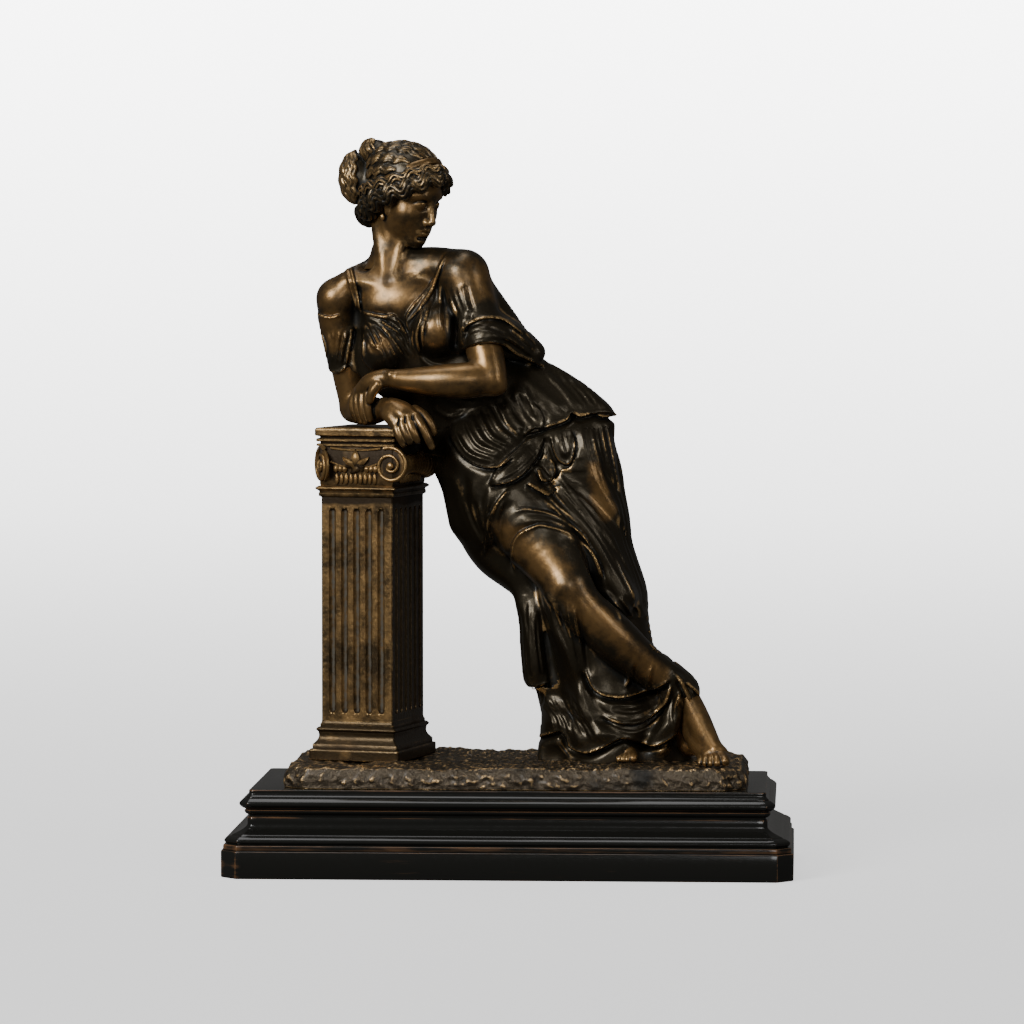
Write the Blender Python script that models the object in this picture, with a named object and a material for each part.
"""A bronze lady leaning on a fluted pillar, on rocky ground and a black moulded plinth.

Metres, +Z up, +X to the viewer's right, +Y away from the viewer.
The origin is the middle of the plinth's underside.
"""

import math

import bmesh
import bpy
from mathutils import Matrix, Vector, noise
from mathutils.bvhtree import BVHTree

MM = 0.001
CLEARANCE = 0.3 * MM

# The lady, from the ground under her to the top of her hair
LADY_HEIGHT = 436 * MM
# Her pose and her carving are given in 436ths of her height
SHARE = LADY_HEIGHT / 436
CLAY_VOXEL = 1.7 * SHARE
CLAY_TRIANGLES = 6600

# The pillar she leans on
PILLAR_WIDTH = 52.7 * MM
PILLAR_DEPTH = 65 * MM
PILLAR_TURN = math.radians(-15.5)
PILLAR_X = -99 * SHARE
PILLAR_Y = 7 * SHARE
FLUTES_IN_FRONT = 5
FLUTES_AT_SIDE = 6
FLUTE_WIDTH = 4.8 * MM
FLUTE_DEPTH = 2 * MM
FLUTE_MARGIN = 6.5 * MM
BLOCK_HEIGHT = 8 * MM
BLOCK_REACH = 7 * MM
BASE_HEIGHT = 19 * MM
NECK_HEIGHT = 7 * MM
CAPITAL_HEIGHT = 30 * MM
ABACUS_HEIGHT = 11 * MM
VOLUTE_RADIUS = 12.4 * MM
VOLUTE_OUT = 25 * MM
ROLL_REACH = 4 * MM
EYE_REACH = 1.2 * MM
ABACUS_REACH = 3 * MM

# The ground is as long as her stride and the pillar, with a margin
GROUND_LENGTH = LADY_HEIGHT * 0.7317
GROUND_DEPTH = 141 * MM
GROUND_HEIGHT = 14.9 * MM
GROUND_SHIFT = 4.5 * MM
ROCK_BUMP = 3.2 * MM
ROCK_CORNER = 15 * MM

# The plinth, moulded from the slab up to the fillet that carries the ground
PLINTH_END_MARGIN = 38 * MM
PLINTH_SIDE_MARGIN = 18.5 * MM
CORNER_CUT = 11 * MM
SLAB_HEIGHT = 19.1 * MM
STEP_HEIGHT = 4 * MM
BEAD_HEIGHT = 5.7 * MM
SCOTIA_HEIGHT = 9.2 * MM
COLLAR_HEIGHT = 5 * MM
ROUND_HEIGHT = 3.4 * MM
TORUS_HEIGHT = 8.2 * MM
COVE_HEIGHT = 4.2 * MM
FILLET_HEIGHT = 1.6 * MM

PLINTH_LENGTH = GROUND_LENGTH + 2 * PLINTH_END_MARGIN
PLINTH_DEPTH = GROUND_DEPTH + 2 * PLINTH_SIDE_MARGIN
PLINTH_HEIGHT = (SLAB_HEIGHT + STEP_HEIGHT + BEAD_HEIGHT + SCOTIA_HEIGHT + COLLAR_HEIGHT
                 + ROUND_HEIGHT + TORUS_HEIGHT + COVE_HEIGHT + FILLET_HEIGHT)
GROUND_TOP = PLINTH_HEIGHT + CLEARANCE + GROUND_HEIGHT
STAND = GROUND_TOP + CLEARANCE
# The pillar's top carries her forearm, at a fixed share of her height
PILLAR_HEIGHT = LADY_HEIGHT * 0.535 - CLEARANCE
PILLAR_TOP = STAND + PILLAR_HEIGHT


def clear_scene():
    for old in list(bpy.data.objects):
        bpy.data.objects.remove(old, do_unlink=True)


def add_object(name, mesh):
    piece = bpy.data.objects.new(name, mesh)
    bpy.context.scene.collection.objects.link(piece)
    return piece


def paint(piece, colour, roughness, metallic):
    material = bpy.data.materials.new(piece.name + "_finish")
    material.use_nodes = True
    shader = material.node_tree.nodes["Principled BSDF"]
    shader.inputs["Base Color"].default_value = (*colour, 1)
    shader.inputs["Roughness"].default_value = roughness
    shader.inputs["Metallic"].default_value = metallic
    piece.data.materials.clear()
    piece.data.materials.append(material)


def finish(piece, colour, roughness, metallic, sharp=40):
    piece.data.shade_smooth()
    piece.data.set_sharp_from_angle(angle=math.radians(sharp))
    paint(piece, colour, roughness, metallic)


def loft(name, rings):
    """A closed body through rings of points, with a flat cap at each end."""
    form = bmesh.new()
    rows = [[form.verts.new(point) for point in ring] for ring in rings]
    count = len(rows[0])
    for low, high in zip(rows, rows[1:]):
        for i in range(count):
            j = (i + 1) % count
            form.faces.new((low[i], low[j], high[j], high[i]))
    form.faces.new(reversed(rows[0]))
    form.faces.new(rows[-1])
    bmesh.ops.triangulate(form, faces=form.faces)
    bmesh.ops.recalc_face_normals(form, faces=form.faces)
    mesh = bpy.data.meshes.new(name)
    form.to_mesh(mesh)
    form.free()
    return add_object(name, mesh)


def sweep(start, end, bulge, steps=5):
    """Points of a moulding between two (inset, height) corners; a positive bulge swells outwards."""
    points = []
    for k in range(1, steps + 1):
        t = k / steps
        inset = start[0] + (end[0] - start[0]) * t - bulge * math.sin(math.pi * t)
        points.append((inset, start[1] + (end[1] - start[1]) * t))
    return points


def boolean(piece, tool, operation):
    """Joins or cuts a piece with a tool, and removes the tool."""
    modifier = piece.modifiers.new(operation.lower(), "BOOLEAN")
    modifier.object = tool
    modifier.operation = operation
    modifier.solver = "EXACT"
    apply_modifiers(piece)
    bpy.data.objects.remove(tool, do_unlink=True)


def apply_modifiers(piece):
    bpy.context.view_layer.update()
    mesh = bpy.data.meshes.new_from_object(piece.evaluated_get(bpy.context.evaluated_depsgraph_get()))
    piece.modifiers.clear()
    piece.data = mesh


# The plinth


def plinth_outline(inset, height):
    """A rectangle with its corners cut at 45 degrees, drawn in from the slab by an inset."""
    x = PLINTH_LENGTH / 2 - inset
    y = PLINTH_DEPTH / 2 - inset
    cut = CORNER_CUT - (2 - math.sqrt(2)) * inset
    corners = [(x, y - cut), (x - cut, y), (cut - x, y), (-x, y - cut)]
    points = corners + [(-a, -b) for a, b in corners]
    return [(a, b, height) for a, b in points]


def plinth_profile():
    """The mouldings from the floor up, as (inset, height) points."""
    edge = 1.2 * MM
    z = SLAB_HEIGHT
    profile = [(edge, 0), (0, edge), (0, z - edge), (edge, z)]
    z += STEP_HEIGHT
    profile += [(1.5 * MM, z - STEP_HEIGHT + 0.2 * MM), (1.5 * MM, z - 0.4 * MM), (4.5 * MM, z)]
    profile += sweep((4.5 * MM, z), (5 * MM, z + BEAD_HEIGHT), 2.4 * MM)
    z += BEAD_HEIGHT
    profile += sweep((5 * MM, z), (14 * MM, z + SCOTIA_HEIGHT), -2.6 * MM)
    z += SCOTIA_HEIGHT
    profile += [(14 * MM, z + COLLAR_HEIGHT - 1.2 * MM), (15.2 * MM, z + COLLAR_HEIGHT)]
    z += COLLAR_HEIGHT
    profile += sweep((14.6 * MM, z), (12 * MM, z + ROUND_HEIGHT), 0.9 * MM, 3)
    z += ROUND_HEIGHT
    profile += sweep((12 * MM, z), (12 * MM, z + TORUS_HEIGHT), 3.5 * MM, 7)
    z += TORUS_HEIGHT
    profile += sweep((12.4 * MM, z), (15 * MM, z + COVE_HEIGHT), -0.9 * MM, 3)
    z += COVE_HEIGHT
    return profile + [(15 * MM, z + FILLET_HEIGHT - 0.6 * MM), (16 * MM, PLINTH_HEIGHT)]


def build_plinth():
    plinth = loft("plinth", [plinth_outline(inset, z) for inset, z in plinth_profile()])
    finish(plinth, (0.012, 0.010, 0.009), 0.18, 0.3, sharp=30)


# The pillar


def rectangle(half_width, half_depth, height):
    corners = ((-1, -1), (1, -1), (1, 1), (-1, 1))
    return [(sx * half_width, sy * half_depth, height) for sx, sy in corners]


def square_body(name, profile):
    """A square moulded body: profile rows are how far it stands out from the shaft, and the height."""
    return loft(name, [rectangle(PILLAR_WIDTH / 2 + out, PILLAR_DEPTH / 2 + out, z) for out, z in profile])


def fluted_outline(depth, height):
    """The shaft's section: each face carries a row of hollows of the given depth."""
    half_width = PILLAR_WIDTH / 2
    half_depth = PILLAR_DEPTH / 2
    points = []
    faces = ((half_width, half_depth, FLUTES_IN_FRONT), (half_depth, half_width, FLUTES_AT_SIDE)) * 2
    for turn, (along, away, flutes) in enumerate(faces):
        pitch = 2 * (along - FLUTE_MARGIN) / flutes
        row = [(-along, 0)]
        for k in range(flutes):
            middle = -along + FLUTE_MARGIN + (k + 0.5) * pitch
            row += [(middle - FLUTE_WIDTH / 2, 0), (middle - FLUTE_WIDTH / 4, depth)]
            row += [(middle + FLUTE_WIDTH / 4, depth), (middle + FLUTE_WIDTH / 2, 0)]
        spin = Matrix.Rotation(turn * math.pi / 2, 3, "Z")
        points += [spin @ Vector((s, inward - away, 0)) for s, inward in row]
    return [(p.x, p.y, height) for p in points]


def build_shaft(bottom, top, lap):
    run = FLUTE_WIDTH / 2
    stops = ((-lap, 0), (FLUTE_MARGIN - run, 0), (FLUTE_MARGIN, 1))
    rings = [fluted_outline(FLUTE_DEPTH * part, bottom + z) for z, part in stops]
    rings += [fluted_outline(FLUTE_DEPTH * part, top - z) for z, part in reversed(stops)]
    return loft("pillar", rings)


def drum(radius, length, place, sides=18):
    """A round roll lying front to back."""
    form = bmesh.new()
    bmesh.ops.create_cone(form, cap_ends=True, segments=sides, radius1=radius, radius2=radius, depth=length)
    form.transform(Matrix.Translation(place) @ Matrix.Rotation(math.pi / 2, 4, "X"))
    mesh = bpy.data.meshes.new("roll")
    form.to_mesh(mesh)
    form.free()
    return add_object("roll", mesh)


def build_pillar():
    """The moulded base, the fluted shaft, the capital with its volutes, and the abacus."""
    base_top = BLOCK_HEIGHT + BASE_HEIGHT
    neck_bottom = PILLAR_HEIGHT - ABACUS_HEIGHT - CAPITAL_HEIGHT - NECK_HEIGHT
    capital_bottom = neck_bottom + NECK_HEIGHT
    abacus_bottom = capital_bottom + CAPITAL_HEIGHT
    reach = BLOCK_REACH
    base = [(reach, 0), (reach, BLOCK_HEIGHT), (reach - 1.8 * MM, BLOCK_HEIGHT + 0.2 * MM)]
    base += [(reach - 1.8 * MM, BLOCK_HEIGHT + 3.8 * MM)]
    base += sweep((reach - 2 * MM, BLOCK_HEIGHT + 4 * MM), (2 * MM, BLOCK_HEIGHT + 11 * MM), -1.6 * MM, 4)
    base += sweep((2 * MM, BLOCK_HEIGHT + 11 * MM), (2 * MM, BLOCK_HEIGHT + 16 * MM), 1.4 * MM, 4)
    base += [(1 * MM, base_top - 1 * MM), (0.6 * MM, base_top)]
    neck = [(1 * MM, neck_bottom), (1.6 * MM, neck_bottom + 0.6 * MM), (1.6 * MM, neck_bottom + 1.6 * MM)]
    neck += sweep((1.6 * MM, neck_bottom + 1.6 * MM), (3 * MM, neck_bottom + 4 * MM), -0.6 * MM, 2)
    neck += sweep((3 * MM, neck_bottom + 4 * MM), (2 * MM, capital_bottom), 1.4 * MM, 4)
    capital = [(2 * MM, capital_bottom), (1 * MM, capital_bottom + 1 * MM)]
    capital += sweep((1 * MM, capital_bottom + 1 * MM), (4 * MM, capital_bottom + 16 * MM), -1 * MM, 3)
    capital += [(2 * MM, abacus_bottom)]
    abacus = [(2.8 * MM, abacus_bottom + 1 * MM), (1.2 * MM, abacus_bottom + 1.6 * MM)]
    abacus += [(2.4 * MM, abacus_bottom + 3.6 * MM), (ABACUS_REACH, abacus_bottom + 5.6 * MM)]
    abacus += [(ABACUS_REACH, PILLAR_HEIGHT - 0.6 * MM), (ABACUS_REACH - 0.6 * MM, PILLAR_HEIGHT)]
    # the shaft runs a little way into its base and its capital, so that they join
    lap = 1.5 * MM
    pillar = build_shaft(base_top, neck_bottom, lap)
    boolean(pillar, square_body("base", base), "UNION")
    boolean(pillar, square_body("head", neck + capital[1:] + abacus), "UNION")
    length = PILLAR_DEPTH + 2 * ROLL_REACH
    centre = capital_bottom + VOLUTE_RADIUS + 0.6 * MM
    for side in (-1, 1):
        place = Vector((side * VOLUTE_OUT, 0, centre))
        boolean(pillar, drum(VOLUTE_RADIUS, length, place), "UNION")
        boolean(pillar, drum(VOLUTE_RADIUS * 0.55, length + 2 * EYE_REACH, place, 12), "UNION")
    for k in range(5):
        place = Vector(((k - 2) * VOLUTE_RADIUS * 0.46, 0, centre + 1 * MM))
        egg = VOLUTE_RADIUS * (0.34 if k == 2 else 0.2)
        boolean(pillar, drum(egg, length - EYE_REACH, place, 8), "UNION")
    pillar.data.transform(Matrix.Translation((PILLAR_X, PILLAR_Y, STAND))
                          @ Matrix.Rotation(PILLAR_TURN, 4, "Z"))
    finish(pillar, (0.16, 0.10, 0.05), 0.42, 0.85, sharp=35)
    return pillar


# The ground


def near(x, y, centre, half):
    """How far a place lies outside a box, in metres."""
    return math.hypot(max(abs(x - centre[0]) - half[0], 0), max(abs(y - centre[1]) - half[1], 0))


def rock_height(x, y):
    """Bumps of rock that die out under the pillar and under the lady's feet and hem."""
    flat = min(near(x, y, (PILLAR_X, PILLAR_Y), (PILLAR_WIDTH * 0.85, PILLAR_DEPTH * 0.75)),
               near(x, y, (86 * SHARE, -10 * SHARE), (74 * SHARE, 50 * SHARE)))
    bump = noise.noise(Vector((x, y, 0)) / (22 * MM)) + 0.5 * noise.noise(Vector((x, y, 9 * MM)) / (9 * MM))
    edge = min(GROUND_LENGTH / 2 - abs(x - GROUND_SHIFT), GROUND_DEPTH / 2 - abs(y))
    return min(flat / (14 * MM), 1) * ROCK_BUMP * (bump - 0.2 - 0.5 * (edge < 4 * MM))


def build_ground():
    """A slab of rock with a bumpy top and a rough, chiselled edge."""
    columns = 30
    rows = 13
    form = bmesh.new()
    grid = []
    for j in range(rows + 1):
        v = 2 * j / rows - 1
        line = []
        for i in range(columns + 1):
            u = 2 * i / columns - 1
            x = GROUND_SHIFT + u * GROUND_LENGTH / 2
            y = v * GROUND_DEPTH / 2
            rim = max(abs(u), abs(v)) ** 12
            wave = min(noise.noise(Vector((x, y, 40 * MM)) / (17 * MM)), 0)
            x += rim * abs(u) ** 6 * math.copysign(ROCK_BUMP * wave, u)
            y += rim * abs(v) ** 6 * math.copysign(ROCK_BUMP * wave, v)
            corner = max(abs(u) + abs(v) * GROUND_DEPTH / GROUND_LENGTH - 1.32, 0)
            x -= math.copysign(corner * ROCK_CORNER * 2, u)
            line.append(form.verts.new((x, y, GROUND_TOP + rock_height(x, y))))
        grid.append(line)
    for low, high in zip(grid, grid[1:]):
        for i in range(columns):
            form.faces.new((low[i], low[i + 1], high[i + 1], high[i]))
    rim = grid[0] + [line[-1] for line in grid[1:]] + grid[-1][-2::-1] + [line[0] for line in grid[-2:0:-1]]
    bottom = PLINTH_HEIGHT + CLEARANCE
    levels = ((0.55, 1.0), (0.0, 0.4))
    for part, reach in levels:
        lower = []
        for vert in rim:
            step = noise.noise(Vector((vert.co.x, vert.co.y, part * 60 * MM)) / (8 * MM)) * ROCK_BUMP * 0.4
            pull = 1 + (step - (1 - reach) * 1.5 * MM) / (GROUND_DEPTH / 2)
            x = GROUND_SHIFT + (vert.co.x - GROUND_SHIFT) * (1 + (pull - 1) * GROUND_DEPTH / GROUND_LENGTH)
            lower.append(form.verts.new((x, vert.co.y * pull, bottom + GROUND_HEIGHT * part)))
        for i in range(len(rim)):
            j = (i + 1) % len(rim)
            form.faces.new((rim[i], lower[i], lower[j], rim[j]))
        rim = lower
    form.faces.new(rim)
    bmesh.ops.triangulate(form, faces=form.faces)
    bmesh.ops.recalc_face_normals(form, faces=form.faces)
    mesh = bpy.data.meshes.new("ground")
    form.to_mesh(mesh)
    form.free()
    ground = add_object("ground", mesh)
    finish(ground, (0.06, 0.045, 0.03), 0.5, 0.8, sharp=25)


# The lady, in shares of her height: x, y, z from the middle of the ground's top, and a radius

SKIRT = (
    # the right thigh, and the cloth over the shin that crosses in front
    ((-16, 0, 214, 34), (8, -14, 172, 28), (32, -32, 138, 20), (41, -41, 124, 16)),
    ((41, -41, 122, 16), (53, -41, 107, 15.5), (72, -35, 88, 16.5), (92, -26, 70, 13.5), (112, -16, 54, 9)),
    # the cloth that hangs from the hip behind that thigh
    ((-22, 8, 214, 31), (-20, 8, 190, 27), (-16, 10, 169, 26.5), (-7, 10, 150, 23), (8, 8, 138, 17)),
    # the left leg, straight under the cloth
    ((41, 12, 214, 32), (48, 12, 187, 29.5), (54, 10, 165, 27), (59, 12, 144, 25), (67, 14, 109, 29.5),
     (74, 14, 83, 26.5), (86, 8, 57, 19)),
    # the hanging folds left of the knee, and the wide hem
    ((15, 8, 132, 18), (22, 8, 104, 18.5), (26, 8, 75, 20), (31, 8, 47, 14), (36, 6, 23, 19), (37, 4, 2, 21)),
    ((46, -2, 105, 20), (58, -4, 65, 26), (66, -6, 29, 27), (68, -4, 2, 30)),
    ((84, 4, 55, 20), (98, 0, 29, 17), (100, -2, 2, 20)),
    ((98, 2, 62, 13), (112, 0, 42, 13), (117, 0, 22, 13), (113, 2, 2, 16)),
    # the cloth that joins the legs, behind and in front
    ((10, 14, 214, 28), (16, 15, 170, 24), (28, 15, 130, 20), (38, 14, 80, 21), (46, 12, 30, 24),
     (48, 10, 2, 26)),
    ((28, -12, 150, 16), (36, -16, 120, 17), (46, -16, 90, 18), (64, -14, 60, 18), (80, -12, 30, 17)),
)
TORSO = (
    ((-86, 7, 330, 19), (-74, 8, 308, 33), (-54, 10, 281, 36), (-26, 11, 256, 37), (2, 9, 236, 41),
     (16, 9, 221, 42)),
    # the blouse puffed out over the belt, the flank towards the pillar, and the cloth under the arm
    ((14, 8, 262, 20), (35, 8, 246, 21), (48, 8, 230, 20.5)),
    ((-60, 12, 262, 24), (-46, 12, 236, 24), (-34, 10, 214, 24)),
    ((-101, 12, 310, 10), (-99, 10, 276, 12), (-84, 8, 262, 12)),
)
TORSO_DEPTH = 0.68
BARE = (
    # the shoulders, the neck and the two arms
    ((-124, 12, 323, 13.5), (-108, 10, 334, 12.5), (-86, 8, 341, 15), (-57, 3, 345, 14),
     (-34, -6, 339, 17.5)),
    ((-88, 8, 334, 19), (-87, 6, 350, 14.5), (-84, 6, 366, 13.8), (-80, 5, 384, 14.5)),
    ((-124.5, 12, 322, 14.2), (-124, 15, 307, 13.4), (-119, 19, 275, 12), (-113, 22, 246, 10.3)),
    ((-112.5, 22, 245, 10.8), (-104, 8, 244.3, 11), (-95, -10, 243.5, 9.6), (-87, -26, 243, 7.2)),
    ((-34, -7, 339, 17.5), (-26, -14, 317, 15.5), (-18, -26, 288, 13), (-14, -34, 267, 11.3)),
    ((-14, -34, 267.5, 11.3), (-30, -36, 267, 12.3), (-45, -36, 266, 11.8), (-60, -35, 266, 10.2),
     (-74, -32, 266.3, 8.5), (-85, -28, 268, 7.2)),
    # the left hand laid over the right forearm
    ((-86, -27, 267.5, 7.8), (-97, -22, 263, 8), (-108, -14, 258, 7.3)),
    # the right wrist and the back of the hand over the edge of the pillar
    ((-86, -28, 242.5, 7.2), (-79, -38, 241, 8), (-74, -43, 237, 7)),
    # the feet
    ((119, -10, 48, 9), (128, -22, 32, 10.5), (138, -36, 15, 10), (143, -46, 8, 8)),
    ((80, -2, 6, 7), (82, -14, 4, 5.5)),
)
SLEEVE = (
    ((-26, 0, 326, 15), (-13, 2, 309, 14), (-1, 2, 294, 12), (13, 0, 283, 10)),
    ((-32, -20, 296, 14), (-14, -18, 296, 14.5), (4, -8, 288, 11)),
)
HEAD_PLACE = (-73, 3, 397)
HEAD_YAW = math.radians(56)
HEAD_NOD = math.radians(20)
# each lump of the head: forward, to her left, up, then its half-sizes
HAIR_CAP = ((-4, 0, 12), (30, 26, 22))
HEAD = (
    ((-2, 0, 9), (29, 23.5, 24)),
    ((8, 0, -10), (18, 17.5, 25)),
    ((17, 0, -28), (7, 8, 6.5)),
    ((27, 0, -8), (3.2, 3, 6.5)),
    ((6, 0, -19), (14, 14.5, 12)),
    ((-6, 0, -14), (16, 15, 14)),
    HAIR_CAP,
    ((17, -12, 11), (9, 10, 7)),
    ((17, 12, 11), (9, 10, 7)),
    ((4, 22, 1), (10, 7, 8)),
    ((4, -22, 1), (10, 7, 8)),
    ((-10, 22, -6), (9, 8, 8)),
    ((-10, -22, -6), (9, 8, 8)),
    ((-22, 12, -9), (9, 10, 9)),
    ((-22, -12, -9), (9, 10, 9)),
)
HAIR_KNOTS = (((-114, 15, 408), (11, 12, 20)), ((-97, 11, 425), (11, 11, 10)), ((-104, 12, 385), (9, 11, 11)),
              ((-103, 13, 405), (11, 11, 15)))
HAIR_STRANDS = 7
CHEST = (((-52, -13, 300), (18, 17, 20)), ((-89, -5, 288), (17, 15, 19)), ((-72, 0, 318), (36, 17, 24)))


def curve_body(name, points, thickness=1, depth=1.0):
    """A round body swelling and tapering through points of x, y, z and radius, flattened front to back."""
    curve = bpy.data.curves.new(name, "CURVE")
    curve.dimensions = "3D"
    curve.resolution_u = 5
    curve.bevel_depth = SHARE * thickness
    curve.bevel_resolution = 3
    curve.use_fill_caps = True
    spline = curve.splines.new("BEZIER")
    spline.bezier_points.add(len(points) - 1)
    for knot, (x, y, z, radius) in zip(spline.bezier_points, points):
        knot.co = Vector((x, y / depth, z)) * SHARE
        knot.radius = radius
        knot.handle_left_type = "AUTO"
        knot.handle_right_type = "AUTO"
    piece = add_object(name, curve)
    bpy.context.view_layer.update()
    mesh = bpy.data.meshes.new_from_object(piece.evaluated_get(bpy.context.evaluated_depsgraph_get()))
    mesh.transform(Matrix.Diagonal((1, depth, 1, 1)))
    bpy.data.objects.remove(piece, do_unlink=True)
    return mesh


def add_ball(clay, place, sizes, turn=Matrix()):
    """An egg-shaped lump with three half-sizes."""
    shape = Matrix.Translation(place) @ turn @ Matrix.Diagonal((*sizes, 1))
    bmesh.ops.create_icosphere(clay, subdivisions=3, radius=1, matrix=shape)


def add_limb(clay, points, depth=1.0):
    clay.from_mesh(curve_body("limb", points, depth=depth))
    for x, y, z, radius in (points[0], points[-1]):
        size = radius * SHARE * 0.99
        add_ball(clay, Vector((x, y, z)) * SHARE, (size, size * depth, size))


def head_axes():
    """Her forward, left and up directions as a turn."""
    forward = Vector((math.sin(HEAD_YAW) * math.cos(HEAD_NOD), -math.cos(HEAD_YAW) * math.cos(HEAD_NOD),
                      -math.sin(HEAD_NOD)))
    left = Vector((0, 0, 1)).cross(forward).normalized()
    up = forward.cross(left)
    return Matrix((forward, left, up)).transposed().to_4x4()


def add_head(clay):
    turn = head_axes()
    for offset, sizes in HEAD:
        add_ball(clay, (Vector(HEAD_PLACE) + turn @ Vector(offset)) * SHARE, Vector(sizes) * SHARE, turn)
    for place, sizes in HAIR_KNOTS:
        add_ball(clay, Vector(place) * SHARE, Vector(sizes) * SHARE)


def add_hair(clay):
    """Wavy strands combed back from her brow to the knots of hair."""
    turn = head_axes()
    centre, sizes = Vector(HAIR_CAP[0]), HAIR_CAP[1]
    for k in range(HAIR_STRANDS):
        lean = math.radians(64) * (2 * k / (HAIR_STRANDS - 1) - 1)
        points = []
        for i in range(9):
            rise = math.radians(22 + 16 * i)
            wave = math.radians(5) * math.sin(2.2 * i + k)
            out = math.cos(lean + wave)
            offset = Vector((sizes[0] * math.cos(rise) * out, sizes[1] * math.sin(lean + wave),
                             sizes[2] * math.sin(rise) * out))
            points.append((*(Vector(HEAD_PLACE) + turn @ (centre + offset)), 2.3))
        clay.from_mesh(curve_body("strand", points))


def add_fingers(clay):
    """Four fingers of each hand: the right hangs over the pillar, the left lies on the forearm."""
    for k in range(4):
        x = -80 + 4.6 * k
        knuckle = (x, -44 + k, 238 + 1.4 * k, 3.2)
        add_limb(clay, (knuckle, (x + 3, -46 + 1.5 * k, 229, 3), (x + 6, -44 + 2 * k, 220, 2.4)))
        x = -118 + 5 * k
        add_limb(clay, ((x + 2, -12, 258, 3.3), (x, -13, 249, 3), (x, -10, 240, 2.6)))
    for k in range(5):
        x = 136 + 3.7 * k
        add_limb(clay, ((x, -45, 9, 3.2), (x, -52, 5, 2.8)))


def blend_between(first, second, t):
    return [tuple(a + (b - a) * t for a, b in zip(p, q)) for p, q in zip(first, second)]


# Families of folds, seen from the front (side -1) or the back (side 1).
# Each has a side, how many folds, how thick, and its first and last fold as (x, z) points.
FOLDS = (
    # the sleeve's band and hem
    (-1, 3, 3.4, ((-35, 298), (-25, 309), (-10, 309), (2, 303)),
     ((-36, 284), (-26, 291), (-8, 292), (16, 281))),
    # the pleats from the left shoulder over the breast
    (-1, 3, 2.6, ((-66, 330), (-67, 308), (-63, 282)), ((-41, 334), (-39, 318), (-36, 304))),
    # the neckline, from strap to strap
    (-1, 1, 2.8, ((-108, 311), (-95, 308), (-76, 298), (-62, 326)),
     ((-108, 311), (-95, 308), (-76, 298), (-62, 326))),
    (-1, 2, 2.6, ((-117, 344), (-113, 328), (-108, 311)), ((-61, 328), (-54, 340), (-46, 356))),
    # the fan of pleats from the knot over the right breast
    (-1, 4, 2.6, ((-107, 309), (-90, 303), (-74, 294)), ((-107, 309), (-103, 296), (-102, 284))),
    # the crescents of the blouse over the belly
    (-1, 5, 3.4, ((-36, 246), (-24, 228), (-6, 216)), ((18, 268), (28, 252), (32, 236))),
    # the hem of the overfold
    (-1, 2, 4.2, ((-4, 222), (14, 227), (38, 238), (66, 240)), ((-6, 218), (14, 221), (38, 231), (66, 233))),
    # the leaf-shaped flap
    (-1, 2, 5.0, ((-16, 193), (-6, 208), (20, 225)), ((-12, 191), (6, 199), (20, 221))),
    # the sweeps round the right hip
    (-1, 3, 3.6, ((6, 196), (-14, 172), (-22, 146)), ((-28, 212), (-38, 180), (-28, 150))),
    (-1, 3, 3.4, ((-2, 172), (22, 176), (48, 160), (66, 132)), ((0, 146), (20, 166), (46, 156), (62, 134))),
    # the long ridges from the hip to the ankle
    (-1, 4, 4.0, ((27, 206), (50, 168), (74, 120), (104, 66)), ((62, 226), (74, 180), (82, 140), (96, 98))),
    # the hanging folds left of the knee
    (-1, 4, 4.4, ((0, 120), (8, 90), (12, 50)), ((36, 100), (44, 66), (56, 30))),
    # the hem over the shin and the swags below it
    (-1, 3, 4.2, ((54, 56), (60, 46), (90, 47), (112, 56)), ((50, 30), (72, 16), (96, 22), (112, 44))),
    # the hem on the ground
    (-1, 1, 5.0, ((20, 8), (50, 5), (76, 9), (108, 8)), ((20, 8), (50, 5), (76, 9), (108, 8))),
    # the back: the belt, the long folds under it, and the pleats over it
    (1, 2, 4.0, ((-36, 226), (10, 246), (56, 242)), ((-36, 214), (8, 234), (60, 228))),
    (1, 5, 4.4, ((-26, 196), (-14, 160), (8, 110), (24, 20)), ((62, 212), (74, 150), (90, 90), (112, 24))),
    (1, 4, 3.2, ((-92, 314), (-72, 288), (-44, 258)), ((-34, 322), (-8, 296), (10, 272))),
)


def add_folds(clay, skin):
    """Raised folds laid along the body where a line of sight meets it."""
    for side, count, thick, first, last in FOLDS:
        for k in range(count):
            points = []
            for x, z in fold_line(blend_between(first, last, k / max(count - 1, 1))):
                start = Vector((x, 200 * side, z)) * SHARE
                hit = skin.ray_cast(start, Vector((0, -side, 0)))[0]
                if hit is not None:
                    points.append((x, hit.y / SHARE + side * thick * 0.1, z))
            if len(points) > 2:
                end = len(points) - 1
                swell = [thick * (0.35 + 0.65 * math.sin(math.pi * i / end) ** 0.5) for i in range(end + 1)]
                clay.from_mesh(curve_body("fold", [(*p, r) for p, r in zip(points, swell)]))


def fold_line(points, parts=4):
    """A smooth line of x and z through a fold's few points."""
    ends = [Vector(p) for p in points]
    ends = [2 * ends[0] - ends[1]] + ends + [2 * ends[-1] - ends[-2]]
    line = []
    for a, b, c, d in zip(ends, ends[1:], ends[2:], ends[3:]):
        for i in range(parts):
            t = i / parts
            bend = (2 * a - 5 * b + 4 * c - d) * t ** 2 + (3 * b - a - 3 * c + d) * t ** 3
            line.append((2 * b + (c - a) * t + bend) / 2)
    line.append(ends[-2])
    return [(p.x, p.y) for p in line]


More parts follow.
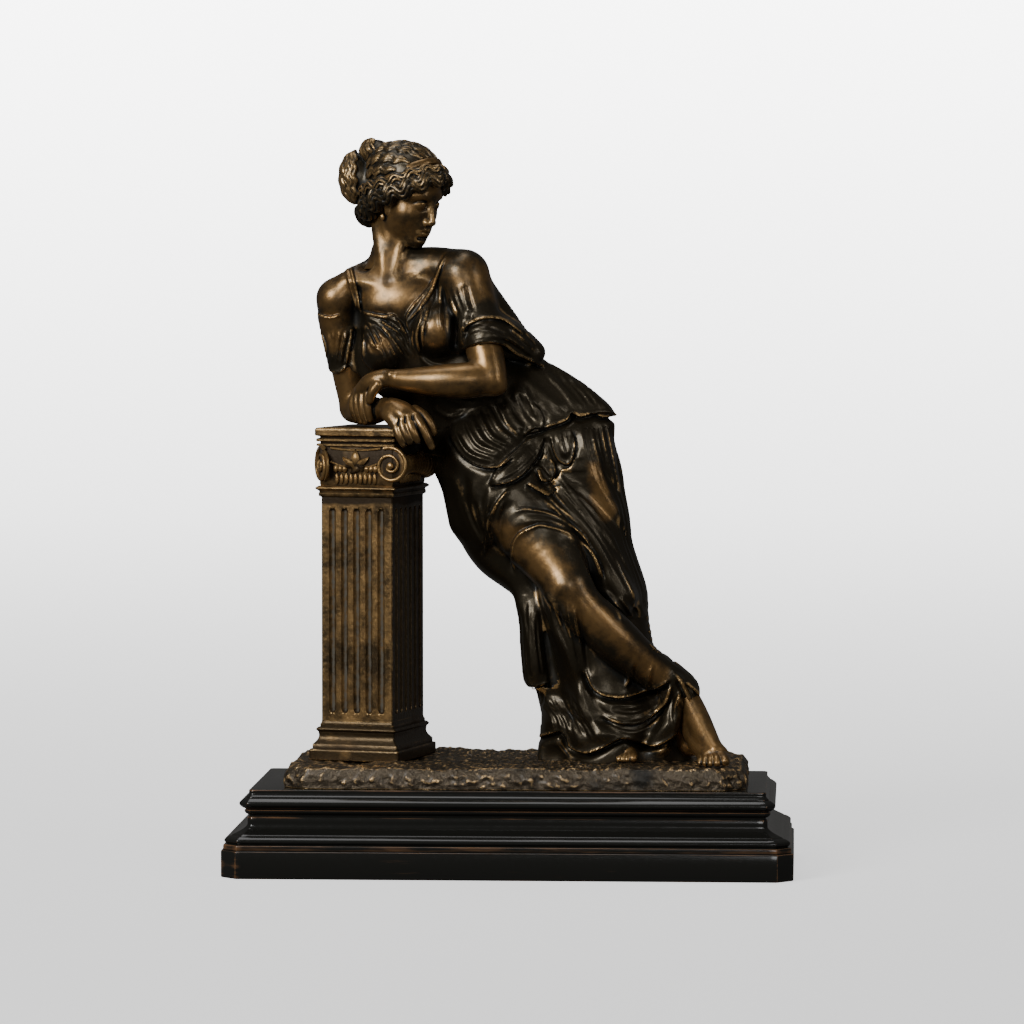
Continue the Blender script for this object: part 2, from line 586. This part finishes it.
def melt(clay, smoothing):
    """One closed skin round all the lumps, smoothed."""
    mesh = bpy.data.meshes.new("lady")
    clay.to_mesh(mesh)
    piece = add_object("lady", mesh)
    remesh = piece.modifiers.new("skin", "REMESH")
    remesh.mode = "VOXEL"
    remesh.voxel_size = CLAY_VOXEL
    smooth = piece.modifiers.new("smooth", "SMOOTH")
    smooth.factor = 0.5
    smooth.iterations = smoothing
    apply_modifiers(piece)
    return piece


def trim_box(name, size, place, turn=0.0):
    form = bmesh.new()
    bmesh.ops.create_cube(form, size=1)
    form.transform(Matrix.Translation(place) @ Matrix.Rotation(turn, 4, "Z") @ Matrix.Diagonal((*size, 1)))
    mesh = bpy.data.meshes.new(name)
    form.to_mesh(mesh)
    form.free()
    return add_object(name, mesh)


def build_lady():
    clay = bmesh.new()
    for group in (SKIRT, BARE, SLEEVE):
        for points in group:
            add_limb(clay, points)
    for points in TORSO:
        add_limb(clay, points, TORSO_DEPTH)
    for place, sizes in CHEST:
        add_ball(clay, Vector(place) * SHARE, Vector(sizes) * SHARE)
    add_head(clay)
    add_hair(clay)
    add_fingers(clay)
    body = melt(clay, 3)
    skin = BVHTree.FromObject(body, bpy.context.evaluated_depsgraph_get())
    bpy.data.objects.remove(body, do_unlink=True)
    add_folds(clay, skin)
    lady = melt(clay, 2)
    clay.free()
    thin = lady.modifiers.new("thin", "DECIMATE")
    thin.ratio = CLAY_TRIANGLES / (2 * len(lady.data.polygons))
    apply_modifiers(lady)
    lady.data.transform(Matrix.Translation((0, 0, STAND)))
    trim_lady(lady)
    finish(lady, (0.11, 0.065, 0.03), 0.38, 0.9, sharp=60)


def trim_lady(lady):
    """Cuts her flat on the ground, and clear of the pillar and of its capital."""
    deep = 60 * MM
    floor = trim_box("under", (2 * PLINTH_LENGTH, 2 * PLINTH_DEPTH, deep), (0, 0, STAND - deep / 2))
    boolean(lady, floor, "DIFFERENCE")
    capital_top = PILLAR_TOP - ABACUS_HEIGHT
    levels = (
        (PILLAR_WIDTH / 2 + ABACUS_REACH, PILLAR_DEPTH / 2 + ABACUS_REACH, STAND, PILLAR_TOP),
        (VOLUTE_OUT + VOLUTE_RADIUS, PILLAR_DEPTH / 2 + ROLL_REACH + EYE_REACH,
         capital_top - CAPITAL_HEIGHT, capital_top),
    )
    for half_width, half_depth, bottom, top in levels:
        size = (2 * (half_width + CLEARANCE), 2 * (half_depth + CLEARANCE), top - bottom + 2 * CLEARANCE)
        place = (PILLAR_X, PILLAR_Y, (top + bottom) / 2)
        boolean(lady, trim_box("trim", size, place, PILLAR_TURN), "DIFFERENCE")


def main():
    clear_scene()
    build_plinth()
    build_ground()
    build_pillar()
    build_lady()


main()
